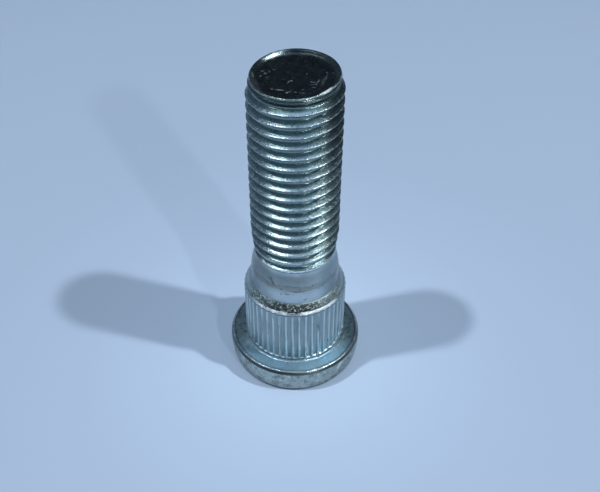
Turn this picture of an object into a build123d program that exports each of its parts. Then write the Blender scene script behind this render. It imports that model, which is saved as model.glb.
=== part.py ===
"""Press-in wheel stud, one piece: forged head, splined shank, plain neck and a rolled right-hand thread.

The stud stands on its head. The origin is the centre of the head's flat base and +Z runs up to the tip.
All sizes are in millimetres.
"""
from build123d import *
import math
import os

# Whole stud
overall_length = 46.4

# Head
head_diameter = 18.9
head_thickness = 4.0
head_girth_drop = 1.25
head_girth_round = 3.0
head_base_inset = 0.35
head_base_round = 0.75
head_edge_inset = 0.06
head_edge_width = 0.3
head_edge_height = 0.45

# Splined part, with heights counted from the head's seat
spline_diameter = 14.3
spline_top = 9.5
spline_depth = 0.2
spline_count = 48
spline_land_share = 0.3
spline_root_width = 0.4
spline_foot = 0.5
spline_foot_rise = 0.28
spline_phase = 1.0

# Shallow relief ring and fillet between the splines and the seat
relief_depth = 0.07
relief_top = 0.65
relief_taper = 0.1
seat_fillet = 0.3

# Plain shank and the rounded shoulder that draws it in to the neck, counted from the seat
shank_diameter = 12.1
shank_top = 12.3
neck_diameter = 11.06
neck_top = 15.0
neck_straight = 0.7

# Rolled thread
thread_diameter = 11.8
thread_root_diameter = 10.16
thread_pitch = 1.5
thread_angle = 60.0
thread_crest_width = 0.26
crest_runout = 4.4
root_runout = 0.8
first_crest_drop = 2.02

# Tip, cupped by the rolling and a little out of square, so that one side of its lip stands higher
tip_lean = 4.0
tip_lean_turn = 58.0
rim_diameter = 10.9
rim_crown_diameter = 10.6
rim_side = 0.4
rim_flare = 1.3
crest_taper_drop = 1.57
crest_taper_slope = 0.52
dish_diameter = 10.0
dish_edge_depth = 0.42
dish_depth = 0.6

# How far a cutting face runs past what it cuts, and how deep a joined end is sunk
overrun = 0.25
sunk_depth = 0.08

# Turn that keeps the start of the crests' outline clear of the start of the thread
seam_turn = 77.0

seat_z = head_thickness
neck_z = seat_z + neck_top
spline_radius = spline_diameter / 2
shank_radius = shank_diameter / 2
neck_radius = neck_diameter / 2
root_radius = thread_root_diameter / 2
crest_radius = thread_diameter / 2
rim_radius = rim_diameter / 2
crown_radius = rim_crown_diameter / 2
crown_z = overall_length - crown_radius * math.sin(math.radians(tip_lean))


def rounded(section, across, up, radius):
    """A flat section with the corner nearest a place rounded."""
    corner = section.vertices().sort_by_distance((across, up))[0]
    return fillet(corner, radius)


def turned(section):
    """A half section turned about the stud's axis."""
    return revolve(Plane.XZ * section, Axis.Z)


def head_and_spline_blank():
    """The forged head and the plain blank of the splined part, up to the shank's shoulder."""
    head_radius = head_diameter / 2
    base_radius = head_radius - head_base_inset
    edge_radius = head_radius - head_edge_inset
    girth_z = seat_z - head_girth_drop
    relief_radius = spline_radius - relief_depth
    shoulder_low = seat_z + spline_top
    shoulder_high = shoulder_low + spline_radius - shank_radius
    corners = [
        (0, 0),
        (base_radius, 0),
        (head_radius, girth_z),
        (edge_radius, seat_z - head_edge_height),
        (edge_radius - head_edge_width, seat_z),
        (relief_radius, seat_z),
        (relief_radius, seat_z + relief_top - relief_taper),
        (spline_radius, seat_z + relief_top),
        (spline_radius, shoulder_low),
        (shank_radius, shoulder_high),
        (0, shoulder_high),
    ]
    section = make_face(Polyline(corners, close=True))
    section = rounded(section, base_radius, 0, head_base_round)
    section = rounded(section, head_radius, girth_z, head_girth_round)
    section = rounded(section, relief_radius, seat_z, seat_fillet)
    return turned(section)


def spline_groove():
    """One straight groove between two splines, closed at its foot by a short slope."""
    outer = spline_radius + overrun
    root = spline_radius - spline_depth
    mouth = 2 * math.pi * spline_radius / spline_count * (1 - spline_land_share)
    flank_slope = (mouth - spline_root_width) / 2 / spline_depth
    half_outer = mouth / 2 + flank_slope * overrun
    half_root = spline_root_width / 2
    outline = [(root, -half_root), (outer, -half_outer), (outer, half_outer), (root, half_root)]
    low_z = seat_z + spline_foot
    height = spline_top - spline_foot + spline_depth + overrun
    blade = Pos(0, 0, low_z) * extrude(make_face(Polyline(outline, close=True)), height)
    foot_slope = spline_foot_rise / spline_depth
    inner = root - overrun
    foot = [
        (inner, low_z - overrun),
        (spline_radius + overrun / foot_slope, low_z - overrun),
        (inner, low_z + spline_foot_rise + overrun * foot_slope),
    ]
    return blade - turned(make_face(Polyline(foot, close=True)))


def leaning(solid):
    """A solid made about the lip's own middle, leant and lifted to its place on the stud."""
    lean = Rot(0, 0, tip_lean_turn) * Rot(0, -tip_lean, 0)
    return Pos(0, 0, crown_z) * lean * solid


def shank_and_core():
    """The shank, its rounded shoulder, the neck and the thread's core, which ends inside the tip."""
    shank_low = (shank_radius, seat_z + spline_top)
    shank_high = (shank_radius, seat_z + shank_top)
    neck = (neck_radius, neck_z)
    neck_high = (neck_radius, neck_z + neck_straight)
    root_low = (root_radius, neck_z + neck_straight + root_runout)
    core_z = crown_z - rim_side - rim_flare / 2
    shoulder = TangentArc(shank_high, neck, tangent=(0, 1))
    core = Polyline(neck, neck_high, root_low, (root_radius, core_z), (0, core_z))
    inside = Polyline((0, core_z), (0, seat_z + spline_top), shank_low, shank_high)
    return turned(make_face([shoulder, core, inside]))


def tip():
    """The flared tip with its rounded lip, still full, leaning a little."""
    foot_z = -rim_side - rim_flare
    foot = (root_radius - sunk_depth, foot_z)
    rim = (rim_radius, -rim_side)
    crown = (crown_radius, 0)
    flare = Polyline((0, foot_z), foot, rim)
    lip = TangentArc(rim, crown, tangent=(0, 1))
    inside = Polyline(crown, (0, 0), (0, foot_z))
    return leaning(turned(make_face([flare, lip, inside])))


def dish():
    """The hollow of the cupped tip, leaning with it."""
    corners = [
        (0, -dish_depth),
        (dish_diameter / 2, -dish_edge_depth),
        (crown_radius, 0),
        (crown_radius, overrun),
        (0, overrun),
    ]
    return leaning(turned(make_face(Polyline(corners, close=True))))


def crest_outline():
    """A solid that holds the crests in where they run out at the neck and taper at the tip."""
    outer = crest_radius + overrun
    low_radius = neck_radius - sunk_depth
    runout_slope = (crest_radius - low_radius) / crest_runout
    low_z = neck_z - overrun
    high_z = crown_z - rim_side
    taper_z = overall_length - crest_taper_drop
    tip_radius = crest_radius - crest_taper_slope * (high_z - taper_z)
    corners = [
        (0, low_z),
        (low_radius - overrun * runout_slope, low_z),
        (outer, neck_z + (outer - low_radius) / runout_slope),
        (outer, taper_z - overrun / crest_taper_slope),
        (tip_radius, high_z),
        (0, high_z),
    ]
    return Rot(0, 0, seam_turn) * turned(make_face(Polyline(corners, close=True)))


def thread():
    """The helical ridge on its rod, too long at both ends, then held in by the outline of its crests."""
    foot_radius = root_radius - overrun / 2
    height = crest_radius - foot_radius
    half_crest = thread_crest_width / 2
    half_foot = half_crest + height * math.tan(math.radians(thread_angle / 2))
    outline = [(0, half_foot), (height, half_crest), (height, -half_crest), (0, -half_foot)]
    crest_z = overall_length - first_crest_drop
    turns_down = math.ceil((crest_z - neck_z) / thread_pitch) + 1
    turns = turns_down + 2
    start_z = crest_z - turns_down * thread_pitch
    one_turn = Helix(thread_pitch, thread_pitch, foot_radius)
    path = Wire([Pos(0, 0, start_z + turn * thread_pitch) * one_turn.edge() for turn in range(turns)])
    place = Plane(origin=path @ 0, x_dir=(1, 0, 0), z_dir=path % 0)
    ridge = sweep(place * make_face(Polyline(outline, close=True)), path=path, is_frenet=True)
    rod_height = (turns + 4) * thread_pitch
    rod = Pos(0, 0, start_z - 2 * thread_pitch + rod_height / 2) * Cylinder(root_radius, rod_height)
    return (rod + ridge) & crest_outline()


def wheel_stud():
    """The whole stud as one solid."""
    grooves = [place * spline_groove() for place in PolarLocations(0, spline_count, spline_phase)]
    lower = head_and_spline_blank() - grooves
    upper = shank_and_core() + tip() + thread() - dish()
    return lower + upper


os.makedirs("parts", exist_ok=True)
export_step(wheel_stud(), "parts/wheel_stud.step")
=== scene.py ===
"""A zinc-plated wheel stud standing on its head on a pale blue floor, under three lamps."""
import math
import bpy
import bmesh
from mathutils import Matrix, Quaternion, Vector


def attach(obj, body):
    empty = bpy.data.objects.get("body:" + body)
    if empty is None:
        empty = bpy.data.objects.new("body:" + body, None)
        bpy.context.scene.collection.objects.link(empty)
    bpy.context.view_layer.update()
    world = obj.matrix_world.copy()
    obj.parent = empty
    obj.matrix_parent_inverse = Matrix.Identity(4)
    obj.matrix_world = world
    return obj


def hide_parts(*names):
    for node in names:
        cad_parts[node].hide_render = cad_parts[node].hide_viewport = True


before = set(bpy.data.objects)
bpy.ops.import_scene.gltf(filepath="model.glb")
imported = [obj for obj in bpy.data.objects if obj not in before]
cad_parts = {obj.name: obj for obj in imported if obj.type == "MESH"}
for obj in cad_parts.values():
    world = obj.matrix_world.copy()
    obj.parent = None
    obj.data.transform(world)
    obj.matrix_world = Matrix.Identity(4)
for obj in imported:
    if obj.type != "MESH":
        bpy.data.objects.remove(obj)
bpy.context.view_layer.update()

MM = 0.001

# Head, heights in millimetres above the floor
head_base_radius = 9.1
head_base_round = 0.75
head_base_inset = 0.661
head_girth_radius = 9.428
head_girth_height = 2.75
head_edge_radius = 9.39
head_edge_height = 3.55
seat_height = 4.0
head_columns = 192

# Splined part
spline_count = 48
columns_per_spline = 12
spline_phase = 1.0
spline_radius = 7.15
spline_root_radius = 6.95
relief_radius = 7.08
seat_fillet = 0.3
spline_top = 13.2
groove_foot = 4.52
groove_full = 4.8

# Shares of the groove's depth, by the columns between a place and the middle of the groove
groove_shares = {3: 1.0, 4: 0.7, 5: 0.2}

# Shank and neck
shank_radius = 6.05
shank_top = 16.3
neck_radius = 5.53
neck_height = 19.0

# Thread, and the lines of height and radius between which it swells from the neck and fades at the tip
crest_radius = 5.9
crest_round = 0.07
root_radius = 5.085
pitch = 1.5
first_crest = 44.23
crest_line = [(19.0, 5.45), (23.4, 5.9), (44.5, 5.9), (44.95, 5.54), (45.55, 5.44)]
root_line = [(19.0, 5.53), (19.84, 5.53), (20.1, 5.11), (20.5, 5.085), (44.33, 5.085), (45.55, 5.44)]
thread_columns = 128
thread_turns = 21
middle_height = 32.0
turns_below_first_crest = 19
run_out_heights = (19.5, 20.4)

# Tip, whose lip leans towards the back right
rim_height = 45.55
rim_radius = 5.44
crown_height = 46.03
lean_slope = 0.0699
lean_turn = 58.0
lean_low = 44.95
lean_high = 45.6
dish_edge = (4.28, 45.535)
dish_step = 0.28
dish_fall = 0.008
dish_rings = 15

# Wear of the lip: where it starts, how far in it fades, and how far down and in it reaches
wear_height = 45.6
wear_inside = 4.5
wear_blend = 0.5
wear_down = 0.05
wear_in = 0.045

# Distances in millimetres at which vertices are merged, and the reach of the seam under the lip
thread_merge = 0.006
thread_sliver = 0.001
stud_merge = 0.004
seam_merge = 0.012
seam_reach = 0.02
smooth_angle = 44.0

# Where the struck end and the forged side have finishes of their own
struck_above = 45.3
struck_within = 5.27
forged_below = 3.56
# Pale colour of edges rubbed bright and of painted highlights
wear_and_glint_colour = (0.76, 0.82, 0.82, 1)

# Nicks in the dish: middle to the right and back, turn, half length, half width and strength
dish_nicks = [
    (-0.75, -1.0, 70.0, 0.36, 0.09, 1.0),
    (-0.49, -0.72, 10.0, 0.26, 0.09, 0.9),
    (2.14, -1.26, -26.0, 0.55, 0.1, 1.0),
    (2.69, -1.07, 65.0, 0.5, 0.09, 1.0),
    (2.16, -1.72, 1.0, 0.75, 0.12, 0.6),
    (3.44, -0.9, 74.0, 1.5, 0.11, 0.5),
    (3.16, -1.05, 73.0, 1.2, 0.08, 0.4),
    (3.71, 0.63, 0.0, 0.22, 0.16, 1.0),
    (4.42, 0.4, 0.0, 0.16, 0.14, 0.6),
    (-1.73, -2.58, -8.0, 0.65, 0.14, 1.0),
    (-2.67, -2.32, 0.0, 0.22, 0.14, 0.8),
    (-0.74, -3.09, 23.0, 0.5, 0.1, 0.9),
    (0.06, -3.13, 0.0, 0.2, 0.12, 0.7),
    (0.9, -2.69, 0.0, 0.22, 0.13, 1.0),
    (0.81, -3.33, -3.0, 0.5, 0.14, 0.6),
    (-3.42, 0.86, 10.0, 0.26, 0.2, 1.0),
    (-3.75, 1.4, 30.0, 0.24, 0.14, 0.6),
    (-3.95, 0.45, 60.0, 0.3, 0.16, 0.5),
    (-3.2, 0.15, 20.0, 0.26, 0.15, 0.6),
    (-3.0, 1.25, 80.0, 0.2, 0.12, 0.5),
    (-2.47, 1.61, 0.0, 0.2, 0.16, 0.6),
    (-4.85, 0.33, -76.0, 0.5, 0.16, 0.8),
    (1.36, 0.58, 0.0, 0.16, 0.13, 0.8),
    (2.14, -2.26, 0.0, 0.4, 0.2, 0.4),
]

# Places of the lip with a painted glint, painted shade, a greyer patch and a painted highlight: middle to
# the right and back, turn, half length and half width
glint_slope = (-2.62, 4.2, 32.0, 2.2, 0.42)
shaded_slope = (1.5, 4.75, -17.0, 3.2, 0.9)
grey_lip = (-4.75, -1.4, 107.0, 3.4, 0.75)
lip_highlight_place = (3.5, -3.8, 43.0, 1.2, 0.3)

# Dark marks on the neck and splines: middle to the right, height, turn, half length, half width, strength
dark_marks = [
    (-3.06, 17.82, -50.0, 0.8, 0.28, 0.7),
    (-3.2, 18.2, 15.0, 0.35, 0.14, 0.7),
    (-3.88, 17.3, -40.0, 0.8, 0.16, 0.55),
    (-1.86, 16.84, 60.0, 0.2, 0.14, 1.0),
    (-1.87, 16.15, 80.0, 0.16, 0.12, 1.0),
    (-1.07, 16.12, 4.0, 0.5, 0.1, 0.8),
    (2.39, 17.49, 10.0, 0.16, 0.15, 0.8),
    (0.66, 16.95, 90.0, 0.4, 0.1, 0.7),
    (1.34, 15.12, 30.0, 0.36, 0.16, 0.5),
    (3.62, 16.75, 25.0, 0.8, 0.1, 0.5),
    (-0.3, 17.5, 0.0, 1.6, 0.08, 0.6),
    (0.4, 16.76, 3.0, 1.9, 0.09, 0.75),
    (3.2, 10.35, 100.0, 0.7, 0.15, 0.7),
    (4.68, 6.62, 90.0, 0.4, 0.15, 0.7),
]
head_glint = (6.35, 2.95, 70.0, 0.75, 0.4)

# Fine ridges that rolling left under the lip
ridge_spacing = 0.18
ridge_depth = 0.05
ridges_below_rim = 3
ridges_above_rim = 2

# Lamps, in metres: how far they are, and the widths of what lights the stud and what it mirrors
lamp_distance = 0.9
lamp_width = 0.042
shine_width = 0.065
shine_colour = (0.84, 0.97, 1.0)

# Each lamp: azimuth, elevation, powers of its light and reflection, and the reflection's length and roll
lamps = {
    "right_lamp": (-16.6, 53.3, 4.55, 2.25, 0.42, -42.0),
    "left_lamp": (-166.0, 63.5, 3.95, 1.15, 0.46, 40.0),
    "front_lamp": (-61.0, 30.0, 1.45, 1.13, 0.13, 0.0),
}

# Colours of the room: its left and right walls, low down and overhead
left_wall = (0.085, 0.135, 0.19, 1)
right_wall = (0.05, 0.078, 0.1, 1)
room_low_down = (0.19, 0.28, 0.38, 1)
room_overhead = (0.45, 0.64, 0.86, 1)

# Camera: its place and aim in millimetres, its lens, and its shift as a share of the picture's width
camera_eye = (0, -82.57, 92.28)
camera_aim = (0, 0, 19.59)
camera_lens = 48.5
camera_sensor = 36.0
camera_shift = 5.0 / 600

# Floor: its colour, and a painted pool of light on it, as levels at distances in metres from the stud
floor_colour = (0.402, 0.512, 0.672)
floor_light_pool = [(0, 1.08), (0.013, 1.08), (0.02, 1.0), (0.032, 0.92), (0.05, 0.87), (0.12, 0.86)]
floor_light_pool += [(0.25, 0.76), (0.45, 0.64), (0.8, 0.5)]


def edit(piece):
    """Opens a piece in edit mode."""
    bpy.context.view_layer.objects.active = piece
    piece.select_set(True)
    bpy.ops.object.mode_set(mode="EDIT")
    bpy.ops.mesh.select_mode(type="VERT")


def select_mesh():
    """Selects the whole of the piece in edit mode."""
    bpy.ops.mesh.select_all(action="SELECT")


def select_none():
    """Leaves no piece selected."""
    bpy.ops.object.select_all(action="DESELECT")


def close_edit():
    """Leaves edit mode."""
    bpy.ops.object.mode_set(mode="OBJECT")


def start_ring(name, columns, radius, height, turn=0.0):
    """An open ring of edges about the stud's axis, ready to be drawn out into a turned piece."""
    select_none()
    place = (0, 0, height * MM)
    bpy.ops.mesh.primitive_circle_add(
        vertices=columns, radius=radius * MM, location=place, rotation=(0, 0, turn)
    )
    ring = bpy.context.object
    ring.name = name
    bpy.ops.object.transform_apply(location=True, rotation=True, scale=True)
    return ring


def draw_out(start, outline):
    """Draws the selected ring through an outline of radius and height, one extrusion for each point."""
    radius, height = start
    for next_radius, next_height in outline:
        rise = (next_height - height) * MM
        grow = next_radius / radius
        bpy.ops.mesh.extrude_edges_move(TRANSFORM_OT_translate={"value": (0, 0, rise)})
        bpy.ops.transform.resize(value=(grow, grow, 1), center_override=(0, 0, 0))
        radius, height = next_radius, next_height


def pick(piece, wanted):
    """Selects, in edit mode, each vertex whose radius, turn in degrees and height are wanted."""
    grid = bmesh.from_edit_mesh(piece.data)
    for vertex in grid.verts:
        across = math.hypot(vertex.co.x, vertex.co.y) / MM
        turn = math.degrees(math.atan2(vertex.co.y, vertex.co.x)) % 360
        vertex.select = wanted(across, turn, vertex.co.z / MM)
    grid.select_flush_mode()
    bmesh.update_edit_mesh(piece.data)


def near(value, target, reach=0.004):
    """True where a size is at its target."""
    return abs(value - target) < reach


def rounded_corner(centre, radius, first, last, steps):
    """Points of radius and height on an arc, between two directions in degrees."""
    points = []
    for step in range(steps + 1):
        angle = math.radians(first + (last - first) * step / steps)
        points.append((centre[0] + radius * math.cos(angle), centre[1] + radius * math.sin(angle)))
    return points


def make_head():
    """The forged head, from the middle of its base round its side and edge to the seat."""
    round_centre = (head_base_radius - head_base_inset, head_base_round)
    base_corner = rounded_corner(round_centre, head_base_round, -90, -7, 7)
    side = [
        (9.25, 1.2), (9.33, 1.8), (9.395, 2.3), (9.42, 2.6), (head_girth_radius, head_girth_height),
        (9.427, 2.9), (9.422, 3.05), (9.41, 3.3), (9.395, 3.48),
        (head_edge_radius - 0.005, head_edge_height), (9.37, 3.59), (9.31, 3.68), (9.22, 3.8),
        (9.165, 3.875), (9.12, 3.925), (9.03, 3.98), (8.95, seat_height), (8.7, seat_height),
        (8.3, seat_height), (7.75, seat_height),
    ]
    first = base_corner[0]
    head = start_ring("head", head_columns, first[0], first[1])
    edit(head)
    select_mesh()
    draw_out(first, base_corner[1:] + side)
    pick(head, lambda across, turn, height: near(height, 0) and near(across, first[0]))
    draw_out(first, [(7.0, 0.0), (5.0, 0.0), (3.0, 0.0), (1.2, 0.0)])
    bpy.ops.mesh.merge(type="CENTER")
    close_edit()
    return head


def groove_share(turn):
    """How far a column of the splined part lies in a groove: 1 at the root, 0 on a land."""
    step = 360 / spline_count / columns_per_spline
    offset = ((turn - spline_phase) / step + columns_per_spline / 2) % columns_per_spline
    steps_away = abs(offset - columns_per_spline / 2)
    for limit, share in groove_shares.items():
        if steps_away < limit:
            return share
    return 0.0


def press_groove(piece, level, depth, rise):
    """Draws the groove columns of one row in by a depth, and lifts them where the groove breaks out."""
    for share in reversed(groove_shares.values()):
        pick(
            piece,
            lambda across, turn, height: near(height, level) and near(groove_share(turn), share),
        )
        grow = 1 - depth * share / spline_radius
        bpy.ops.transform.resize(value=(grow, grow, 1), center_override=(0, 0, 0))
        bpy.ops.transform.translate(value=(0, 0, rise * share * MM))


def make_splines():
    """The fillet on the seat, the shallow relief, the splines and the outer half of the shoulder."""
    columns = spline_count * columns_per_spline
    step = math.radians(360 / columns)
    quarter = math.radians(90)
    turn = math.radians(spline_phase) + step / 2 - quarter
    fillet_centre = (relief_radius + seat_fillet, seat_height + seat_fillet)
    fillet = rounded_corner(fillet_centre, seat_fillet, 270, 180, 6)
    first = (fillet[0][0] + 0.06, seat_height)
    rows = fillet + [
        (relief_radius, 4.42), (relief_radius + 0.01, 4.48), (spline_radius - 0.03, groove_foot),
        (spline_radius, 4.575), (spline_radius, 4.63), (spline_radius, groove_full),
        (spline_radius, 5.2), (spline_radius, 7.0), (spline_radius, 9.0), (spline_radius, 11.0),
        (spline_radius, 12.6), (spline_radius, 12.95), (spline_radius, 13.1), (7.145, spline_top),
        (7.12, 13.28), (7.07, 13.36), (7.0, 13.44), (6.9, 13.52), (6.8, 13.585), (6.71, 13.72),
        (6.63, 13.88), (6.55, 14.02),
    ]
    splines = start_ring("splines", columns, first[0], first[1], turn)
    edit(splines)
    select_mesh()
    draw_out(first, rows)
    depth = spline_radius - spline_root_radius
    sunk_rows = [(4.575, 0.575, 0), (4.63, 1.0, 0)]
    sunk_rows += [(height, 1.0, 0) for height in (groove_full, 5.2, 7.0, 9.0, 11.0)]
    sunk_rows += [(12.6, 0.9, 0), (12.95, 0.8, 0.01), (13.1, 0.7, 0.03)]
    sunk_rows += [(spline_top, 0.55, 0.04), (13.28, 0.4, 0.04), (13.36, 0.2, 0.02)]
    for height, sunk, rise in sunk_rows:
        press_groove(splines, height, sunk * depth, rise)
    close_edit()
    return splines


def make_shank():
    """The inner half of the shoulder, the plain shank and the rounded neck up to the thread."""
    first = (6.4, 14.22)
    rows = [(6.22, 14.43), (6.1, 14.545), (6.06, 14.6), (shank_radius, 14.68), (shank_radius, 15.2)]
    rows += [(shank_radius, 15.8), (shank_radius, shank_top)]
    drop = shank_radius - neck_radius
    rise = neck_height - shank_top
    sweep = (drop * drop + rise * rise) / (2 * drop)
    for part in range(1, 10):
        height = shank_top + rise * part / 9
        inset = sweep - math.sqrt(sweep * sweep - (height - shank_top) ** 2)
        rows.append((shank_radius - inset, height))
    shank = start_ring("shank", thread_columns, first[0], first[1])
    edit(shank)
    select_mesh()
    draw_out(first, rows)
    close_edit()
    return shank


def thread_profile():
    """One pitch of the rolled thread as offset and radius: a root, a flank, a round crest and back."""
    crest = rounded_corner((0, crest_radius - crest_round), crest_round, 90, 30, 3)
    flank = [(0.14, 5.727), (0.213, 5.6), (0.294, 5.46), (0.413, 5.255), (0.474, 5.15), (0.56, 5.1)]
    flank.append((pitch / 2, root_radius))
    half = crest + flank
    left = [(-offset, radius) for offset, radius in reversed(half[1:])]
    return left + half


def along(line, height):
    """The radius of a line of height and radius points at a height."""
    for (low, low_radius), (high, high_radius) in zip(line, line[1:]):
        if height <= high:
            return low_radius + (high_radius - low_radius) * (height - low) / (high - low)
    return line[-1][1]


def thread_radius(across, height):
    """The radius of a point of the full thread, cut down at the neck or faded at the tip."""
    root = along(root_line, height)
    crest = max(along(crest_line, height), root)
    if height < middle_height:
        return max(root, min(across, crest))
    share = (across - root_radius) / (crest_radius - root_radius)
    return root + (crest - root) * share


def rolled_in(height):
    """How far the skin under the lip lies in between its fine ridges."""
    ridges_up = (height - rim_height) / ridge_spacing
    if not -ridges_below_rim < ridges_up < ridges_above_rim:
        return 0.0
    return ridge_depth * (0.5 - 0.5 * math.cos(math.tau * ridges_up))


def pick_upright(piece, low, high):
    """Selects, in edit mode, the edges that run up the thread's profile between two heights."""
    bpy.ops.mesh.select_mode(type="EDGE")
    grid = bmesh.from_edit_mesh(piece.data)
    for edge in grid.edges:
        first, second = (vertex.co for vertex in edge.verts)
        upright = first.xy.angle(second.xy) < math.radians(1)
        edge.select = upright and low < (first.z + second.z) / 2 / MM < high
    grid.select_flush_mode()
    bmesh.update_edit_mesh(piece.data)


def lean_tip(piece):
    """Leans the lip and dish, and less and less of the thread below them, towards the back right."""
    turn = math.radians(lean_turn)
    for vertex in piece.data.vertices:
        share = (vertex.co.z / MM - lean_low) / (lean_high - lean_low)
        share = min(max(share, 0), 1)
        share = share * share * (3 - 2 * share)
        reach = vertex.co.x * math.cos(turn) + vertex.co.y * math.sin(turn)
        vertex.co.z += lean_slope * reach * share


def dent_lip(piece):
    """Wears the lip of the tip unevenly, always inwards or down, as blows and handling leave it."""
    for vertex in piece.data.vertices:
        across = math.hypot(vertex.co.x, vertex.co.y) / MM
        if vertex.co.z < wear_height * MM or across < wear_inside:
            continue
        turn = math.atan2(vertex.co.y, vertex.co.x)
        inner = min((across - wear_inside) / wear_blend, 1)
        slump = 0.5 + 0.3 * math.sin(2 * turn + 0.4) + 0.2 * math.sin(5 * turn + 2.0)
        pinch = 0.5 + 0.35 * math.sin(3 * turn - 0.9) + 0.15 * math.sin(8 * turn)
        vertex.co.z -= wear_down * MM * slump * inner
        grow = 1 - wear_in * pinch * inner / across
        vertex.co.x *= grow
        vertex.co.y *= grow


def make_thread():
    """The rolled thread, one profile wound up the stud and held in at the neck and the tip."""
    select_none()
    bpy.ops.mesh.primitive_plane_add(size=MM)
    thread = bpy.context.object
    thread.name = "thread"
    points = thread_profile()
    low_crest = first_crest - turns_below_first_crest * pitch
    edit(thread)
    select_mesh()
    bpy.ops.mesh.merge(type="CENTER")
    offset, radius = points[0]
    bpy.ops.transform.translate(value=(radius * MM, 0, (low_crest + offset) * MM))
    for next_offset, next_radius in points[1:]:
        move = ((next_radius - radius) * MM, 0, (next_offset - offset) * MM)
        bpy.ops.mesh.extrude_vertices_move(TRANSFORM_OT_translate={"value": move})
        offset, radius = next_offset, next_radius
    close_edit()
    bpy.ops.object.modifier_add(type="SCREW")
    winding = thread.modifiers[-1]
    winding.axis = "Z"
    winding.angle = math.tau
    winding.screw_offset = pitch * MM
    winding.iterations = thread_turns
    winding.steps = thread_columns
    winding.render_steps = thread_columns
    bpy.ops.object.modifier_apply(modifier=winding.name)
    edit(thread)
    low, high = run_out_heights
    pick(thread, lambda across, turn, height: low < height < high)
    bpy.ops.mesh.subdivide(number_cuts=2)
    pick_upright(thread, rim_height - (ridges_below_rim + 0.5) * ridge_spacing, rim_height + 0.1)
    bpy.ops.mesh.subdivide(number_cuts=3)
    close_edit()
    for vertex in thread.data.vertices:
        height = min(max(vertex.co.z / MM, neck_height), rim_height)
        across = math.hypot(vertex.co.x, vertex.co.y) / MM
        held = thread_radius(across, height) - rolled_in(height)
        vertex.co.x *= held / across
        vertex.co.y *= held / across
        vertex.co.z = height * MM
    edit(thread)
    select_mesh()
    bpy.ops.mesh.remove_doubles(threshold=thread_merge * MM)
    bpy.ops.mesh.dissolve_degenerate(threshold=thread_sliver * MM)
    close_edit()
    return thread


def make_tip():
    """The cupped end: a raised lip round a shallow struck dish, closed at its middle."""
    first = (rim_radius, rim_height)
    wall_line = [(rim_height, rim_radius), (45.64, 5.455), (45.74, 5.45), (45.84, 5.43), (45.92, 5.4)]
    wall_heights = [rim_height + ridge_spacing * part / 6 for part in range(1, 13)]
    wall = [(along(wall_line, height) - rolled_in(height), height) for height in wall_heights]
    lip = [
        (5.355, 45.985), (5.3, 46.02), (5.24, crown_height), (5.17, 46.015), (5.09, 45.965),
        (5.0, 45.885), (4.9, 45.785), (4.8, 45.69), (4.7, 45.62), (4.59, 45.575), (4.46, 45.552),
    ]
    edge, top = dish_edge
    floor = [(edge - dish_step * part, top - dish_fall * part) for part in range(dish_rings)]
    tip = start_ring("tip", thread_columns, first[0], first[1])
    edit(tip)
    select_mesh()
    draw_out(first, wall + lip + floor)
    bpy.ops.mesh.merge(type="CENTER")
    close_edit()
    return tip


def bridge_rings(piece, low_ring, high_ring):
    """Joins two open rings of the piece, each given by its radius and height, with a band of faces."""
    pick(
        piece,
        lambda across, turn, height: any(
            near(across, radius, 0.01) and near(height, level, 0.01)
            for radius, level in (low_ring, high_ring)
        ),
    )
    bpy.ops.mesh.select_mode(type="EDGE")
    bpy.ops.mesh.bridge_edge_loops()
    bpy.ops.mesh.select_mode(type="VERT")


def make_stud():
    """The whole stud as one piece."""
    parts = [make_head(), make_splines(), make_shank(), make_thread(), make_tip()]
    select_none()
    for part in parts:
        part.select_set(True)
    bpy.context.view_layer.objects.active = parts[0]
    bpy.ops.object.join()
    stud = bpy.context.object
    stud.name = "finished_stud"
    edit(stud)
    bridge_rings(stud, (7.75, seat_height), (relief_radius + seat_fillet + 0.06, seat_height))
    bridge_rings(stud, (6.55, 14.02), (6.4, 14.22))
    select_mesh()
    bpy.ops.mesh.remove_doubles(threshold=stud_merge * MM)
    pick(
        stud,
        lambda across, turn, height: near(across, rim_radius, seam_reach)
        and near(height, rim_height, seam_reach),
    )
    bpy.ops.mesh.remove_doubles(threshold=seam_merge * MM)
    select_mesh()
    bpy.ops.mesh.normals_make_consistent(inside=False)
    close_edit()
    bpy.ops.object.shade_smooth_by_angle(angle=math.radians(smooth_angle))
    return stud


def add_node(tree, kind, inputs, **settings):
    """Adds a node, sets its options, and links or sets each of its inputs."""
    made = tree.nodes.new(kind)
    for name, value in settings.items():
        setattr(made, name, value)
    for socket, value in inputs.items():
        if isinstance(value, bpy.types.NodeSocket):
            tree.links.new(value, made.inputs[socket])
        else:
            made.inputs[socket].default_value = value
    return made


def new_group(name, inputs, outputs):
    """A new shader node group with named inputs and outputs, and its two end nodes' sockets."""
    group = bpy.data.node_groups.new(name, "ShaderNodeTree")
    for socket, kind in inputs:
        group.interface.new_socket(socket, in_out="INPUT", socket_type=kind)
    for socket, kind in outputs:
        group.interface.new_socket(socket, in_out="OUTPUT", socket_type=kind)
    given = group.nodes.new("NodeGroupInput").outputs
    result = group.nodes.new("NodeGroupOutput").inputs
    return group, given, result


def math_node(tree, operation, first, second=0.0):
    """The result of a sum on two values."""
    return add_node(tree, "ShaderNodeMath", {0: first, 1: second}, operation=operation).outputs[0]


def mixed(tree, share, first, second):
    """The colour that lies a share of the way from a first colour to a second."""
    blend = add_node(
        tree,
        "ShaderNodeMix",
        {"Factor": share, 6: first, 7: second},
        data_type="RGBA",
    )
    return blend.outputs[2]


def eased(tree, value, low, high):
    """A mask that eases from 0 at a low value to 1 at a high one."""
    return add_node(
        tree,
        "ShaderNodeMapRange",
        {"Value": value, "From Min": low, "From Max": high},
        interpolation_type="SMOOTHSTEP",
    ).outputs["Result"]


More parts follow.
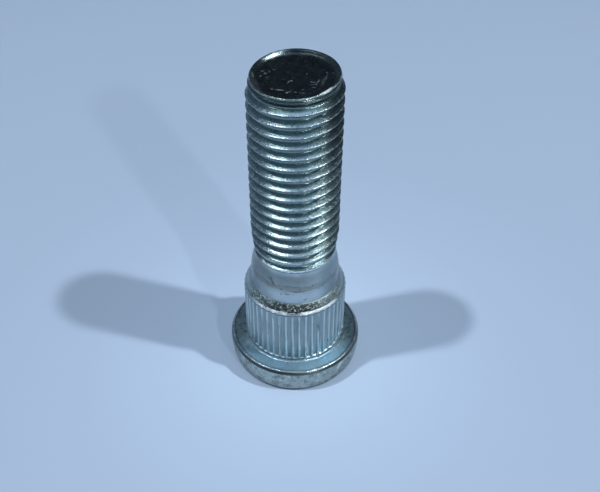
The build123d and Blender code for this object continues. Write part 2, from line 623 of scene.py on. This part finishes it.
def place_group():
    """Where a point lies on the stud, in millimetres: height, distance from the axis, right and back."""
    group, given, result = new_group(
        "place_on_stud",
        [("Vector", "NodeSocketVector")],
        [(socket, "NodeSocketFloat") for socket in ("Height", "Across", "Side", "Depth", "Tip height")],
    )
    split = add_node(group, "ShaderNodeSeparateXYZ", {"Vector": given["Vector"]}).outputs
    height = math_node(group, "MULTIPLY", split["Z"], 1000.0)
    width = math_node(group, "POWER", split["X"], 2.0)
    depth = math_node(group, "POWER", split["Y"], 2.0)
    reach = math_node(group, "SQRT", math_node(group, "ADD", width, depth))
    group.links.new(height, result["Height"])
    group.links.new(math_node(group, "MULTIPLY", reach, 1000.0), result["Across"])
    group.links.new(math_node(group, "MULTIPLY", split["X"], 1000.0), result["Side"])
    group.links.new(math_node(group, "MULTIPLY", split["Y"], 1000.0), result["Depth"])
    turn = math.radians(lean_turn)
    right = math_node(group, "MULTIPLY", split["X"], 1000.0 * lean_slope * math.cos(turn))
    back = math_node(group, "MULTIPLY", split["Y"], 1000.0 * lean_slope * math.sin(turn))
    raised = math_node(group, "ADD", right, back)
    group.links.new(math_node(group, "SUBTRACT", height, raised), result["Tip height"])
    return group


def band_group():
    """A mask that is 1 between a low and a high value, with soft ends."""
    group, given, result = new_group(
        "soft_band",
        [
            ("Value", "NodeSocketFloat"),
            ("Low", "NodeSocketFloat"),
            ("High", "NodeSocketFloat"),
            ("Blend", "NodeSocketFloat"),
        ],
        [("Mask", "NodeSocketFloat")],
    )
    ends = {}
    for name in ("Low", "High"):
        below = math_node(group, "SUBTRACT", given[name], given["Blend"])
        above = math_node(group, "ADD", given[name], given["Blend"])
        ends[name] = (below, above)
    rise = eased(group, given["Value"], *ends["Low"])
    fall = eased(group, given["Value"], *reversed(ends["High"]))
    group.links.new(math_node(group, "MULTIPLY", rise, fall), result["Mask"])
    return group


def skin_group():
    """The uneven skin of plated steel: slow clouds and a fine grain, each from 0 to 1."""
    group, given, result = new_group(
        "uneven_skin",
        [
            ("Vector", "NodeSocketVector"),
            ("Cloud size", "NodeSocketFloat"),
            ("Grain size", "NodeSocketFloat"),
        ],
        [("Cloud", "NodeSocketFloat"), ("Grain", "NodeSocketFloat")],
    )
    for size, detail, socket in (("Cloud size", 4.0, "Cloud"), ("Grain size", 3.0, "Grain")):
        scale = math_node(group, "DIVIDE", 1000.0, given[size])
        noise = add_node(
            group,
            "ShaderNodeTexNoise",
            {"Vector": given["Vector"], "Scale": scale, "Detail": detail, "Roughness": 0.6},
        )
        stretch = add_node(
            group,
            "ShaderNodeMapRange",
            {"Value": noise.outputs["Fac"], "From Min": 0.3, "From Max": 0.7},
        )
        group.links.new(stretch.outputs["Result"], result[socket])
    return group


def patch_group():
    """A mask of scattered patches that cover a share of the surface."""
    group, given, result = new_group(
        "scattered_patches",
        [
            ("Vector", "NodeSocketVector"),
            ("Size", "NodeSocketFloat"),
            ("Cover", "NodeSocketFloat"),
            ("Edge", "NodeSocketFloat"),
        ],
        [("Mask", "NodeSocketFloat")],
    )
    scale = math_node(group, "DIVIDE", 1000.0, given["Size"])
    noise = add_node(
        group,
        "ShaderNodeTexNoise",
        {"Vector": given["Vector"], "Scale": scale, "Detail": 5.0, "Roughness": 0.65},
    )
    level = add_node(
        group,
        "ShaderNodeMapRange",
        {"Value": given["Cover"], "To Min": 0.72, "To Max": 0.28},
    )
    start = level.outputs["Result"]
    mask = eased(group, noise.outputs["Fac"], start, math_node(group, "ADD", start, given["Edge"]))
    group.links.new(mask, result["Mask"])
    return group


def use_group(tree, group, inputs):
    """Places a node group in a material and gives its outputs."""
    return add_node(tree, "ShaderNodeGroup", inputs, node_tree=group).outputs


def plain_material(name):
    """A new material, its node tree and its shader."""
    material = bpy.data.materials.new(name)
    material.use_nodes = True
    tree = material.node_tree
    return material, tree, tree.nodes["Principled BSDF"]


def stud_material(name):
    """A new material for the stud, its tree and shader, and where a point lies on the stud."""
    material, tree, shader = plain_material(name)
    place = add_node(tree, "ShaderNodeTexCoord", {}).outputs["Object"]
    where = use_group(tree, groups["place"], {"Vector": place})
    return material, tree, shader, place, where


def band(tree, value, low, high, blend):
    """The soft band mask of a value."""
    inputs = {"Value": value, "Low": low, "High": high, "Blend": blend}
    return use_group(tree, groups["band"], inputs)["Mask"]


def patches(tree, vector, size, cover, edge):
    """The mask of scattered patches."""
    inputs = {"Vector": vector, "Size": size, "Cover": cover, "Edge": edge}
    return use_group(tree, groups["patch"], inputs)["Mask"]


def finish_metal(tree, shader, colour, roughness, height, strength, reach):
    """Links a metal's colour, roughness and fine relief to its shader."""
    shader.inputs["Metallic"].default_value = 1.0
    tree.links.new(colour, shader.inputs["Base Color"])
    tree.links.new(roughness, shader.inputs["Roughness"])
    relief = add_node(
        tree, "ShaderNodeBump", {"Height": height, "Strength": strength, "Distance": reach * MM}
    )
    tree.links.new(relief.outputs["Normal"], shader.inputs["Normal"])


def times(tree, *values):
    """The product of several masks or numbers."""
    product = values[0]
    for value in values[1:]:
        product = math_node(tree, "MULTIPLY", product, value)
    return product


def tinted(tree, colour, tone, *masks):
    """A colour drawn towards a tone as far as the product of the masks says."""
    return mixed(tree, times(tree, *masks), colour, tone)


def stronger(tree, first, second):
    """The larger of two masks."""
    return math_node(tree, "MAXIMUM", first, second)


def rest_of(tree, mask):
    """What a mask leaves of 1."""
    return math_node(tree, "SUBTRACT", 1.0, mask)


def ranged(tree, value, low, high):
    """A mask stretched to run from a low to a high number."""
    return add_node(
        tree, "ShaderNodeMapRange", {"Value": value, "To Min": low, "To Max": high}
    ).outputs["Result"]


def nick_group():
    """A mask of one oval nick, given by its middle, turn in degrees, half length and half width."""
    sockets = ("Side", "Depth", "Middle side", "Middle depth", "Turn", "Length", "Width")
    group, given, result = new_group(
        "oval_nick", [(name, "NodeSocketFloat") for name in sockets], [("Mask", "NodeSocketFloat")]
    )
    side = math_node(group, "SUBTRACT", given["Side"], given["Middle side"])
    depth = math_node(group, "SUBTRACT", given["Depth"], given["Middle depth"])
    turn = math_node(group, "RADIANS", given["Turn"])
    cosine = math_node(group, "COSINE", turn)
    sine = math_node(group, "SINE", turn)
    along_nick = math_node(group, "ADD", times(group, side, cosine), times(group, depth, sine))
    over_nick = math_node(group, "SUBTRACT", times(group, depth, cosine), times(group, side, sine))
    first = math_node(group, "POWER", math_node(group, "DIVIDE", along_nick, given["Length"]), 2.0)
    second = math_node(group, "POWER", math_node(group, "DIVIDE", over_nick, given["Width"]), 2.0)
    reach = math_node(group, "ADD", first, second)
    group.links.new(eased(group, reach, 1.0, 0.2), result["Mask"])
    return group


def oval_at(tree, side, depth, oval):
    """The mask of one oval, given by its middle, turn, half length and half width."""
    names = ("Middle side", "Middle depth", "Turn", "Length", "Width")
    inputs = {"Side": side, "Depth": depth}
    inputs.update(zip(names, oval))
    return use_group(tree, groups["nick"], inputs)["Mask"]


def ring_at(tree, height, levels, across, radii, blend):
    """The mask of a ring round the stud, between two levels and two radii."""
    between_levels = band(tree, height, levels[0], levels[1], blend)
    between_radii = band(tree, across, radii[0], radii[1], blend)
    return times(tree, between_levels, between_radii)


def wear_and_glint_masks(tree, place, where):
    """Masks of edges rubbed bright by handling, with painted highlights on the seat fillet and the lip's
    rim, and of painted highlight lines where the lamps glint on the shoulder's bead, the groove feet and
    the neck's edge.
    """
    height, across = where["Height"], where["Across"]
    crests = ring_at(tree, height, (20.3, 50), across, (5.86, 6.3), 0.03)
    seat_edge = ring_at(tree, height, (3.87, 4.2), across, (8.98, 9.3), 0.03)
    # Painted highlight: the fillet line and the lip's rim are made bright
    fillet = ring_at(tree, height, (4.02, 4.22), across, (7.1, 7.36), 0.04)
    lip = ring_at(tree, where["Tip height"], (45.84, 50), across, (5.24, 6.0), 0.04)
    edges = crests
    for edge in (seat_edge, fillet, lip):
        edges = stronger(tree, edges, edge)
    edges = times(tree, edges, ranged(tree, patches(tree, place, 0.7, 0.55, 0.1), 0.2, 1.0))
    skin = use_group(tree, groups["skin"], {"Vector": place, "Cloud size": 0.7, "Grain size": 0.3})
    wobble = times(tree, math_node(tree, "SUBTRACT", skin["Cloud"], 0.5), 0.16)
    uneven = math_node(tree, "ADD", height, wobble)
    # Painted highlights: glint lines on the bead, the groove feet and the neck's edge, faded away from
    # the front
    rib_ends = ring_at(tree, uneven, (13.27, 13.57), across, (6.78, 7.3), 0.04)
    groove_feet = ring_at(tree, height, (4.51, 4.64), across, (6.9, 7.08), 0.02)
    middle = band(tree, where["Side"], -1.0, 0.9, 0.8)
    at_sides = rest_of(tree, times(tree, middle, 0.75))
    seen = ranged(tree, band(tree, where["Depth"], -30.0, -4.2, 0.9), 0.15, 1.0)
    glint_lines = times(tree, stronger(tree, rib_ends, groove_feet), at_sides, seen)
    neck_edge = ring_at(tree, uneven, (19.76, 20.04), across, (5.24, 5.58), 0.03)
    neck_edge = times(tree, neck_edge, band(tree, where["Depth"], -30.0, -3.2, 0.8))
    glint_lines = stronger(tree, glint_lines, neck_edge)
    glint_lines = times(tree, glint_lines, ranged(tree, patches(tree, place, 0.55, 0.6, 0.14), 0.5, 1.0))
    return stronger(tree, edges, glint_lines), glint_lines


def tint_thread(tree, place, where, colour):
    """Painted shade in the roots and inner flanks, scuffed specks, pale scrapes, painted shade at the
    upper right and under the lip, and painted light and shade on the fine ridges of the wall.
    """
    height, across, side, depth = where["Height"], where["Across"], where["Side"], where["Depth"]
    on_thread = band(tree, height, 19.8, 60.0, 0.3)
    # Painted shade: the roots, and the inner part of each upper flank where the crest above shades it,
    # are darkened
    root_shade = band(tree, across, 0.0, 5.56, 0.09)
    colour = tinted(tree, colour, (0.15, 0.24, 0.22, 1), on_thread, root_shade, 0.66)
    specks = patches(tree, place, 0.42, 0.37, 0.07)
    more_right = ranged(tree, band(tree, side, 2.6, 30.0, 1.6), 0.5, 0.9)
    colour = tinted(tree, colour, (0.11, 0.13, 0.125, 1), on_thread, specks, more_right)
    at_left = ranged(tree, band(tree, side, -30.0, -2.9, 0.9), 0.4, 1.0)
    off_root = times(tree, on_thread, ranged(tree, root_shade, 1.0, 0.2))
    scraped = times(tree, off_root, at_left, patches(tree, place, 0.5, 0.46, 0.12))
    colour = tinted(tree, colour, (0.5, 0.6, 0.74, 1), scraped, 0.8)
    # Painted shade: the upper right of the thread is darkened
    high_up = band(tree, height, 36.0, 60.0, 4.0)
    right_shade = band(tree, side, 3.4, 30.0, 1.4)
    colour = tinted(tree, colour, (0.075, 0.085, 0.09, 1), high_up, right_shade, 0.62)
    # Painted shade: a dark band under the lip
    shade_under_lip = ring_at(tree, where["Tip height"], (44.85, 45.9), across, (5.1, 5.75), 0.06)
    colour = tinted(tree, colour, (0.12, 0.145, 0.14, 1), shade_under_lip, 0.7)
    # Painted light and shade: the fine ridges under the lip are lighter on their tops and dark between
    # them
    above_rim = math_node(tree, "SUBTRACT", where["Tip height"], rim_height - wear_down / 2)
    ridges_up = times(tree, above_rim, 1 / ridge_spacing)
    wave = math_node(tree, "COSINE", times(tree, ridges_up, math.tau))
    lit_ridge_tops = math_node(tree, "ADD", times(tree, wave, 0.5), 0.5)
    ridge_light_and_shade = mixed(tree, lit_ridge_tops, (0.045, 0.06, 0.058, 1), (0.46, 0.55, 0.52, 1))
    wall = ring_at(tree, where["Tip height"], (45.46, 45.9), across, (5.2, 5.75), 0.04)
    colour = tinted(tree, colour, ridge_light_and_shade, wall, 0.85)
    greyed = oval_at(tree, side, depth, grey_lip)
    greyed = times(tree, greyed, band(tree, where["Tip height"], 45.2, 50.0, 0.1))
    colour = tinted(tree, colour, (0.17, 0.18, 0.19, 1), greyed, 0.7)
    return colour, on_thread, off_root, scraped


def tint_splines(tree, place, where, colour):
    """Painted shade in the grooves between ribs painted lighter, partly for rubbed wear and partly as
    painted highlight; faint streaks along them; lines of painted shade at both ends.
    """
    height, across = where["Height"], where["Across"]
    on_splines = band(tree, height, 4.8, 13.1, 0.08)
    # Painted shade: the floors of the grooves are darkened
    groove_shade = band(tree, across, 0.0, 7.07, 0.05)
    colour = tinted(tree, colour, (0.24, 0.31, 0.32, 1), on_splines, groove_shade, 0.68)
    # Ribs painted lighter: rubbed wear, and painted highlight
    on_rib = band(tree, across, 7.11, 7.4, 0.03)
    drawn = add_node(tree, "ShaderNodeMapping", {"Vector": place, "Scale": (1, 1, 0.1)}).outputs["Vector"]
    rib_tone = ranged(tree, patches(tree, drawn, 0.9, 0.5, 0.25), 0.4, 0.95)
    ribs_worn_and_lit = times(tree, on_splines, on_rib, rib_tone)
    colour = mixed(tree, ribs_worn_and_lit, colour, (0.74, 0.84, 0.86, 1))
    streaks = times(tree, on_splines, patches(tree, drawn, 0.38, 0.44, 0.12))
    colour = tinted(tree, colour, (0.19, 0.24, 0.24, 1), streaks, 0.6)
    # Painted shade: dark lines under the ribs' tops and in the relief at their feet
    rib_tops = ring_at(tree, height, (13.02, 13.2), across, (6.8, 7.3), 0.05)
    relief_ring = ring_at(tree, height, (4.32, 4.55), across, (6.8, 7.2), 0.05)
    ends = stronger(tree, rib_tops, relief_ring)
    colour = tinted(tree, colour, (0.07, 0.1, 0.11, 1), ends, 0.85)
    return colour, ribs_worn_and_lit


def tint_shoulder(tree, place, where, colour):
    """Coarse speckled shoulder: dark and brown in front, partly its own tone and partly painted shade;
    lighter green at the sides as painted reflection; pale flecks that partly stand for painted glints.
    """
    height, depth = where["Height"], where["Depth"]
    on_shoulder = band(tree, height, 13.38, 14.5, 0.07)
    in_front = band(tree, depth, -30.0, -5.0, 1.3)
    coarse = use_group(tree, groups["skin"], {"Vector": place, "Cloud size": 0.5, "Grain size": 0.15})
    brown = mixed(tree, coarse["Cloud"], (0.016, 0.015, 0.012, 1), (0.1, 0.1, 0.088, 1))
    # Dark brown front: partly the shoulder's own tone, partly painted shade
    dull = times(tree, on_shoulder, in_front, 0.92)
    colour = mixed(tree, dull, colour, brown)
    # Painted reflection: the sides of the shoulder are tinted a lighter green
    nearer = band(tree, depth, -30.0, -2.6, 1.4)
    side_reflection = times(tree, rest_of(tree, in_front), nearer)
    green = mixed(tree, coarse["Cloud"], (0.05, 0.07, 0.06, 1), (0.34, 0.41, 0.37, 1))
    colour = tinted(tree, colour, green, on_shoulder, side_reflection, 0.75)
    # Pale flecks: partly real specks, partly painted glints
    flecks_and_glints = times(tree, on_shoulder, patches(tree, place, 0.28, 0.41, 0.04))
    flecks_and_glints = times(tree, flecks_and_glints, ranged(tree, in_front, 1.0, 0.75), ranged(tree, nearer, 0.25, 1.0))
    colour = mixed(tree, flecks_and_glints, colour, (0.66, 0.76, 0.72, 1))
    return colour, coarse, flecks_and_glints


def tint_neck(tree, place, where, skin, colour):
    """Shank painted paler in front as a painted reflection, a brown witness ring, smudges, a dull film on
    the neck, painted shade at the neck's sides and a painted shadow under the thread's edge.
    """
    height, side, depth = where["Height"], where["Side"], where["Depth"]
    # Painted reflection: the front of the shank is made paler
    on_shank = band(tree, height, 14.7, 16.2, 0.15)
    pale = times(tree, on_shank, band(tree, depth, -30.0, -4.5, 1.5))
    colour = tinted(tree, colour, (0.62, 0.68, 0.72, 1), pale, 0.5)
    wander = math_node(tree, "SUBTRACT", skin["Cloud"], 0.5)
    level = math_node(tree, "ADD", height, times(tree, wander, 0.35))
    to_left = band(tree, side, -30.0, 2.2, 1.2)
    film = times(tree, band(tree, level, 17.0, 19.3, 0.4), to_left)
    clouds = ranged(tree, patches(tree, place, 1.2, 0.5, 0.3), 0.45, 0.85)
    colour = tinted(tree, colour, (0.27, 0.28, 0.275, 1), film, clouds)
    ring = band(tree, level, 16.7, 17.5, 0.12)
    brown_share = ranged(tree, patches(tree, place, 0.9, 0.55, 0.25), 0.45, 0.9)
    colour = tinted(tree, colour, (0.27, 0.245, 0.2, 1), ring, brown_share)
    in_front_half = band(tree, depth, -30.0, 0.0, 0.1)
    ragged = ranged(tree, patches(tree, place, 0.4, 0.6, 0.15), 0.55, 1.0)
    smudges = None
    for mark in dark_marks:
        smudge = times(tree, oval_at(tree, side, level, mark[:5]), mark[5])
        smudges = smudge if smudges is None else stronger(tree, smudges, smudge)
    smudges = times(tree, smudges, ragged, in_front_half)
    colour = mixed(tree, smudges, colour, (0.06, 0.06, 0.05, 1))
    scuffs = patches(tree, place, 0.5, 0.24, 0.05)
    scuffs = times(tree, scuffs, band(tree, level, 15.9, 18.4, 0.3))
    colour = tinted(tree, colour, (0.08, 0.08, 0.07, 1), scuffs, 0.55)
    # Painted shade: the sides of the shank and neck are darkened
    on_neck = band(tree, height, 14.7, 19.4, 0.2)
    near_middle = band(tree, side, -3.3, 3.6, 0.9)
    shaded = times(tree, on_neck, rest_of(tree, near_middle))
    colour = tinted(tree, colour, (0.2, 0.25, 0.26, 1), shaded, 0.45)
    # Painted shadow: a dark thin ring just under the thread's lowest edge
    shadow_below_edge = band(tree, height, 19.56, 19.76, 0.06)
    colour = tinted(tree, colour, (0.12, 0.15, 0.16, 1), shadow_below_edge, 0.6)
    return colour


def tint_seat(tree, place, where, colour):
    """Painted blue reflection on the front of the seat, uneven; dark spots, denser at the sides as
    painted shade; a darker outer margin; painted shade on the bevel below the seat's edge.
    """
    height, across, depth = where["Height"], where["Across"], where["Depth"]
    on_seat = band(tree, height, 3.88, 4.25, 0.03)
    # Painted reflection: the front of the seat is tinted blue
    seat_front = band(tree, depth, -30.0, -3.6, 2.5)
    uneven = ranged(tree, patches(tree, place, 1.6, 0.6, 0.25), 0.55, 1.1)
    blue_reflection = times(tree, on_seat, seat_front, uneven)
    colour = tinted(tree, colour, (0.38, 0.71, 1.0, 1), blue_reflection, 0.85)
    # Dark spots, with more of them at the sides of the seat, where they also stand for painted shade
    spots = patches(tree, place, 0.6, 0.54, 0.15)
    spots_and_side_shade = ranged(tree, seat_front, 0.75, 0.2)
    colour = tinted(tree, colour, (0.16, 0.2, 0.2, 1), on_seat, spots, spots_and_side_shade)
    margin = band(tree, across, 8.76, 9.3, 0.1)
    colour = tinted(tree, colour, (0.1, 0.12, 0.12, 1), on_seat, margin, 0.6)
    # Painted shade: the bevel below the seat's edge is darkened
    bevel_shade = ring_at(tree, height, (3.5, 3.88), across, (9.1, 9.6), 0.03)
    colour = tinted(tree, colour, (0.1, 0.12, 0.12, 1), bevel_shade, 0.8)
    return colour, blue_reflection


def zinc_plate():
    """Bright clear-blue zinc plate, stained round the neck, with painted shade in the thread's roots and
    the grooves and painted highlights and reflections.
    """
    material, tree, shader, place, where = stud_material("zinc_plate")
    side, depth = where["Side"], where["Depth"]
    skin = use_group(tree, groups["skin"], {"Vector": place, "Cloud size": 1.6, "Grain size": 0.26})
    colour = mixed(tree, skin["Cloud"], (0.42, 0.5, 0.51, 1), (0.54, 0.62, 0.63, 1))

    # Faint blue and green tints, as thin clear plate shows them
    bluish = patches(tree, place, 1.3, 0.45, 0.25)
    colour = tinted(tree, colour, (0.36, 0.45, 0.68, 1), bluish, 0.42)
    greenish = patches(tree, place, 0.95, 0.42, 0.25)
    colour = tinted(tree, colour, (0.42, 0.58, 0.48, 1), greenish, 0.28)

    colour, on_thread, off_root, scraped = tint_thread(tree, place, where, colour)
    colour, ribs_worn_and_lit = tint_splines(tree, place, where, colour)
    colour, coarse, flecks_and_glints = tint_shoulder(tree, place, where, colour)
    colour = tint_neck(tree, place, where, skin, colour)
    colour, blue_reflection = tint_seat(tree, place, where, colour)
    wear_and_glints, glint_lines = wear_and_glint_masks(tree, place, where)
    # Painted highlight on the lip at the front right
    lip_highlight = oval_at(tree, side, depth, lip_highlight_place)
    lip_highlight = times(tree, lip_highlight, band(tree, where["Tip height"], 45.8, 50.0, 0.05))
    wear_and_glints = stronger(tree, wear_and_glints, lip_highlight)
    # Rubbed edges and painted highlights in a pale colour, then the painted highlight lines in a
    # near-white one
    colour = tinted(tree, colour, wear_and_glint_colour, wear_and_glints, 0.85)
    colour = mixed(tree, glint_lines, colour, (0.84, 0.94, 1.0, 1))
    smooth = ranged(tree, on_thread, 0.3, 0.19)
    smooth = math_node(tree, "ADD", smooth, times(tree, skin["Grain"], 0.08))
    mottled = times(tree, off_root, patches(tree, place, 0.62, 0.44, 0.1))
    smooth = math_node(tree, "ADD", smooth, times(tree, mottled, 0.14))
    roughness = math_node(tree, "SUBTRACT", smooth, times(tree, wear_and_glints, 0.1))
    relief = math_node(tree, "MULTIPLY", skin["Grain"], ranged(tree, on_thread, 1.0, 0.55))
    coarse_ring = band(tree, where["Height"], 13.66, 14.5, 0.06)
    relief = math_node(tree, "ADD", relief, times(tree, coarse_ring, coarse["Grain"], 7.0))
    finish_metal(tree, shader, colour, roughness, relief, 0.3, 0.03)
    hazy = stronger(tree, times(tree, blue_reflection, 0.24), times(tree, flecks_and_glints, 0.45))
    for mask, share in ((glint_lines, 0.9), (lip_highlight, 0.75), (ribs_worn_and_lit, 0.12), (scraped, 0.26), (wear_and_glints, 0.2)):
        hazy = stronger(tree, hazy, times(tree, mask, share))
    tree.links.new(rest_of(tree, hazy), shader.inputs["Metallic"])
    return material


def struck_end():
    """The dark struck end of the tip, with pale nicks in its dish, a painted glint on the slope at the
    back left, painted shade on the slope at the back right and a painted highlight on the lip at the
    front right.
    """
    material, tree, shader, place, where = stud_material("struck_end")
    side, depth = where["Side"], where["Depth"]
    skin = use_group(tree, groups["skin"], {"Vector": place, "Cloud size": 0.8, "Grain size": 0.22})
    colour = mixed(tree, skin["Cloud"], (0.03, 0.032, 0.034, 1), (0.11, 0.115, 0.112, 1))
    on_lip = band(tree, where["Across"], 4.7, 8.0, 0.15)
    colour = tinted(tree, colour, (0.17, 0.2, 0.205, 1), on_lip, 0.6)
    # Painted shade on the inner slope at the back right
    shade = oval_at(tree, side, depth, shaded_slope)
    colour = tinted(tree, colour, (0.035, 0.045, 0.05, 1), shade, on_lip, 0.9)
    crumbs = ranged(tree, patches(tree, place, 0.3, 0.5, 0.12), 0.35, 1.0)
    # Painted glint on the inner slope at the back left
    slope_glint = times(tree, oval_at(tree, side, depth, glint_slope), crumbs)
    colour = tinted(tree, colour, (0.62, 0.7, 0.72, 1), slope_glint, on_lip)
    struck = times(tree, patches(tree, place, 0.34, 0.34, 0.12), 0.2)
    shift = math_node(tree, "SUBTRACT", skin["Grain"], 0.5)
    ragged_side = math_node(tree, "ADD", side, times(tree, shift, 0.16))
    ragged_depth = math_node(tree, "SUBTRACT", depth, times(tree, shift, 0.2))
    for nick in dish_nicks:
        oval = times(tree, oval_at(tree, ragged_side, ragged_depth, nick[:5]), nick[5])
        struck = stronger(tree, struck, oval)
    struck = times(tree, struck, crumbs)
    colour = mixed(tree, struck, colour, (0.52, 0.55, 0.57, 1))
    greyed = times(tree, oval_at(tree, side, depth, grey_lip), ranged(tree, crumbs, 0.5, 1.0))
    colour = tinted(tree, colour, (0.24, 0.25, 0.27, 1), greyed, 0.45)
    # Painted highlight on the lip at the front right
    lip_highlight = times(tree, oval_at(tree, side, depth, lip_highlight_place), on_lip)
    colour = mixed(tree, lip_highlight, colour, wear_and_glint_colour)
    rough = ranged(tree, struck, 0.27, 0.45)
    relief = math_node(tree, "ADD", times(tree, skin["Grain"], ranged(tree, on_lip, 0.4, 0.06)), struck)
    finish_metal(tree, shader, colour, rough, relief, 0.8, 0.08)
    hazy = times(tree, struck, 0.5)
    for mask, share in ((greyed, 0.08), (lip_highlight, 0.75), (times(tree, slope_glint, on_lip), 0.35)):
        hazy = stronger(tree, hazy, times(tree, mask, share))
    tree.links.new(rest_of(tree, hazy), shader.inputs["Metallic"])
    return material


def forged_side():
    """The mottled side of the forged head, with pale patches kept to its upper part as painted light,
    painted shade round its base and a painted glint at the right.
    """
    material, tree, shader, place, where = stud_material("forged_side")
    skin = use_group(tree, groups["skin"], {"Vector": place, "Cloud size": 1.2, "Grain size": 0.3})
    colour = mixed(tree, skin["Cloud"], (0.3, 0.35, 0.33, 1), (0.52, 0.59, 0.57, 1))
    marks = patches(tree, place, 0.75, 0.56, 0.15)
    colour = tinted(tree, colour, (0.17, 0.185, 0.16, 1), marks, 0.75)
    # Pale patches, kept to the upper part of the side, where they partly stand for painted light
    pale = patches(tree, place, 0.9, 0.42, 0.12)
    lit_upper = band(tree, where["Height"], 1.9, 9.0, 0.7)
    colour = tinted(tree, colour, (0.66, 0.74, 0.68, 1), pale, lit_upper, 0.6)
    # Painted shade: the base of the head is darkened
    base_shade = band(tree, where["Height"], -1.0, 0.62, 0.22)
    colour = tinted(tree, colour, (0.13, 0.15, 0.145, 1), base_shade, 0.6)
    glint = oval_at(tree, where["Side"], where["Height"], head_glint)
    in_front = band(tree, where["Depth"], -30.0, 0.0, 0.1)
    glint = times(tree, glint, in_front, ranged(tree, marks, 1.0, 0.2))
    colour = tinted(tree, colour, (0.7, 0.77, 0.74, 1), glint, 0.7)
    rough = ranged(tree, skin["Grain"], 0.32, 0.46)
    finish_metal(tree, shader, colour, rough, skin["Cloud"], 0.4, 0.08)
    tree.links.new(ranged(tree, glint, 1.0, 0.72), shader.inputs["Metallic"])
    return material


def paint_where(piece, slot_index, wanted):
    """Gives a material to the faces whose middle's radius and height are wanted."""
    piece.active_material_index = slot_index
    edit(piece)
    bpy.ops.mesh.select_mode(type="FACE")
    grid = bmesh.from_edit_mesh(piece.data)
    for face in grid.faces:
        middle = face.calc_center_median()
        face.select = wanted(math.hypot(middle.x, middle.y) / MM, middle.z / MM)
    grid.select_flush_mode()
    bmesh.update_edit_mesh(piece.data)
    bpy.ops.object.material_slot_assign()
    close_edit()


def plate_stud(piece):
    """Gives the stud its finishes, each on its own faces."""
    for make in (zinc_plate, struck_end, forged_side):
        piece.data.materials.append(make())
    paint_where(piece, 1, lambda across, height: height > struck_above and across < struck_within)
    paint_where(piece, 2, lambda across, height: height < forged_below)


def pale_floor():
    """A pale blue floor, with a painted pool of light: brightest round the stud and darker away from it.
    """
    select_none()
    bpy.ops.mesh.primitive_plane_add(size=3.0)
    floor = bpy.context.object
    floor.name = "floor"
    material, tree, shader = plain_material("pale_floor")
    place = add_node(tree, "ShaderNodeTexCoord", {}).outputs["Object"]
    reach = add_node(tree, "ShaderNodeVectorMath", {0: place}, operation="LENGTH").outputs["Value"]
    # Painted pool of light: the floor's colour is scaled by its distance from the stud
    painted_pool = add_node(tree, "ShaderNodeValToRGB", {"Fac": reach})
    stops = painted_pool.color_ramp.elements
    stops[1].position = floor_light_pool[-1][0]
    stops[1].color = [part * floor_light_pool[-1][1] for part in floor_colour] + [1]
    for distance, level in floor_light_pool[:-1]:
        stop = stops[0] if distance == 0 else stops.new(distance)
        stop.color = [part * level for part in floor_colour] + [1]
    tree.links.new(painted_pool.outputs["Color"], shader.inputs["Base Color"])
    shader.inputs["Roughness"].default_value = 0.7
    floor.data.materials.append(material)


def add_lamp(name, azimuth, elevation, power, shine, length, roll):
    """A lamp aimed at the tip: a small round one for its light and a long one for its reflection."""
    turn = math.radians(azimuth)
    rise = math.radians(elevation)
    level = math.cos(rise)
    direction = Vector((level * math.cos(turn), level * math.sin(turn), math.sin(rise)))
    tip = Vector((0, 0, crown_height * MM))
    aimed = direction.to_track_quat("Z", "Y")
    rolled = aimed @ Quaternion((0, 0, 1), math.radians(roll))
    for part in ("wash", "shine"):
        bpy.ops.object.light_add(type="AREA", location=tip + direction * lamp_distance)
        lamp = bpy.context.object
        lamp.name = name + "_" + part
        lamp.rotation_euler = rolled.to_euler()
        lamp.data.shape = "ELLIPSE"
        lamp.data.size = length if part == "shine" else lamp_width
        lamp.data.size_y = shine_width if part == "shine" else lamp_width
        lamp.data.energy = shine if part == "shine" else power
        lamp.data.color = shine_colour if part == "shine" else (1, 1, 1)
        lamp.visible_glossy = part == "shine"
        lamp.visible_diffuse = part == "wash"


def light_the_stud():
    """Two ceiling lamps and a front lamp in a dim bluish room."""
    for name, values in lamps.items():
        add_lamp(name, *values)
    room = bpy.data.worlds.new("dim_room")
    bpy.context.scene.world = room
    room.use_nodes = True
    tree = room.node_tree
    sky = tree.nodes["Background"]
    direction = add_node(tree, "ShaderNodeTexCoord", {}).outputs["Generated"]
    split = add_node(tree, "ShaderNodeSeparateXYZ", {"Vector": direction}).outputs
    from_left = {"Value": split["X"], "From Min": -0.6, "From Max": 0.6}
    to_right = add_node(tree, "ShaderNodeMapRange", from_left)
    walls = mixed(tree, to_right.outputs["Result"], left_wall, right_wall)
    walls = mixed(tree, eased(tree, split["Z"], 0.22, 0.0), walls, room_low_down)
    whole = mixed(tree, eased(tree, split["Z"], 0.87, 0.97), walls, room_overhead)
    tree.links.new(whole, sky.inputs["Color"])


def place_camera():
    """The camera, high in front of the stud, as the photograph was taken."""
    eye = Vector(camera_eye) * MM
    aim = Vector(camera_aim) * MM
    bpy.ops.object.camera_add(location=eye)
    camera = bpy.context.object
    camera.name = "camera"
    camera.rotation_euler = (aim - eye).to_track_quat("-Z", "Y").to_euler()
    camera.data.lens = camera_lens
    camera.data.sensor_width = camera_sensor
    camera.data.shift_x = camera_shift
    camera.data.clip_start = 0.01
    bpy.context.scene.camera = camera


makers = {"place": place_group, "band": band_group, "skin": skin_group, "patch": patch_group}
makers["nick"] = nick_group
groups = {name: make() for name, make in makers.items()}

stud = make_stud()
plate_stud(stud)
dent_lip(stud)
lean_tip(stud)
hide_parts("wheel_stud")
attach(stud, "root")
pale_floor()
light_the_stud()
place_camera()
bpy.context.scene.view_settings.view_transform = "Standard"
